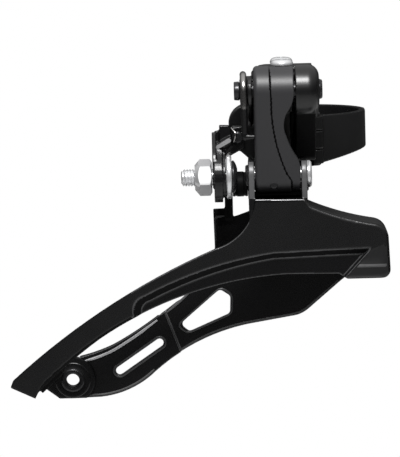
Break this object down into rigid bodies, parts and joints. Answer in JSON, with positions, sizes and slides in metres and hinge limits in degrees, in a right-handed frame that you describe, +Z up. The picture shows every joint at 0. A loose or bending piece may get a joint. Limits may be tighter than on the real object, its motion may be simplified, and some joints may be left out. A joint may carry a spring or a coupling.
{
  "type": "front derailleur",
  "caption": "Bicycle front derailleur with a seat-tube band clamp, parallelogram links, a sprung stamped cage and a cable anchor bolt.",
  "frame": {"origin": "centre of the seat-tube clamp bore, at mid height of the clamp band", "axes": "+Z up along the seat tube, +X forward, so +Y points inboard and the cage hangs at negative Y on the drive side"},
  "size_m": [0.1091, 0.0799, 0.0968],
  "materials": {
    "black_coated_steel": "satin",
    "gloss_black_casting": "gloss",
    "dark_grey_casting": "matte",
    "zinc_steel": "satin",
    "black_steel": "satin",
    "black_plastic": "matte"
  },
  "bodies": {
    "bracket": {"fixed_bracket": "gloss_black_casting", "band_hinge_pin": "black_steel", "clamp_nut": "zinc_steel", "outer_upper_pin": "black_steel", "inner_upper_pin": "black_steel", "spring_bush": "black_plastic", "return_spring": "black_steel"},
    "band": {"clamp_band": "black_coated_steel"},
    "band_bolt": {"clamp_bolt": "zinc_steel", "clamp_washer": "zinc_steel"},
    "outer_arm": {"outer_link": "dark_grey_casting"},
    "cage": {"outer_cage_plate": "black_coated_steel", "inner_cage_plate": "black_coated_steel", "tail_rivet": "black_steel", "front_rivet_rear": "black_steel", "front_rivet_fore": "black_steel", "outer_lower_pin": "zinc_steel", "inner_lower_pin": "black_steel", "cage_spacer": "black_plastic"},
    "inner_arm": {"inner_link": "gloss_black_casting", "cable_arm": "black_coated_steel", "arm_rivet": "black_steel", "cable_anchor_bolt": "zinc_steel", "cable_washer": "zinc_steel"},
    "anchor_nut": {"cable_nut": "zinc_steel"},
    "low_screw": {"limit_screw_low": "zinc_steel"},
    "high_screw": {"limit_screw_high": "zinc_steel"}
  },
  "joints": [
    {"name": "outer_link_swing", "type": "hinge", "parent": "bracket", "child": "outer_arm", "pos_m": [0, -0.044, 0.0153], "axis": [-1, 0, 0], "range_deg": [0, 40], "stiffness_Nm_per_rad": 0.22, "springref_deg": -63.03, "deforming": ["return_spring"]},
    {"name": "inner_link_swing", "type": "hinge", "parent": "bracket", "child": "inner_arm", "pos_m": [0, -0.035, 0.0119], "axis": [-1, 0, 0], "range_deg": [0, 40]},
    {"name": "cage_swing", "type": "hinge", "parent": "outer_arm", "child": "cage", "pos_m": [0, -0.042, -0.009], "axis": [-1, 0, 0], "range_deg": [-40, 0]},
    {"name": "clamp_band_open", "type": "hinge", "parent": "bracket", "child": "band", "pos_m": [0.00355, -0.0202, 0], "axis": [0, 0, -1], "range_deg": [0, 1.6]},
    {"name": "clamp_bolt_turn", "type": "hinge", "parent": "bracket", "child": "band_bolt", "pos_m": [0, 0.024, 0], "axis": [1, 0, 0], "continuous": true},
    {"name": "anchor_nut_turn", "type": "hinge", "parent": "inner_arm", "child": "anchor_nut", "pos_m": [-0.03, -0.044, -0.0091], "axis": [-1, 0, 0], "continuous": true},
    {"name": "low_screw_turn", "type": "hinge", "parent": "bracket", "child": "low_screw", "pos_m": [-0.0056, -0.0324, 0.02], "axis": [0, 0, -1], "continuous": true},
    {"name": "high_screw_turn", "type": "hinge", "parent": "bracket", "child": "high_screw", "pos_m": [-0.0056, -0.0246, 0.02], "axis": [0, 0, -1], "continuous": true}
  ],
  "couplings": [
    {"joint": "inner_link_swing", "follows": "outer_link_swing", "ratio": 1},
    {"joint": "cage_swing", "follows": "outer_link_swing", "ratio": -1}
  ]
}
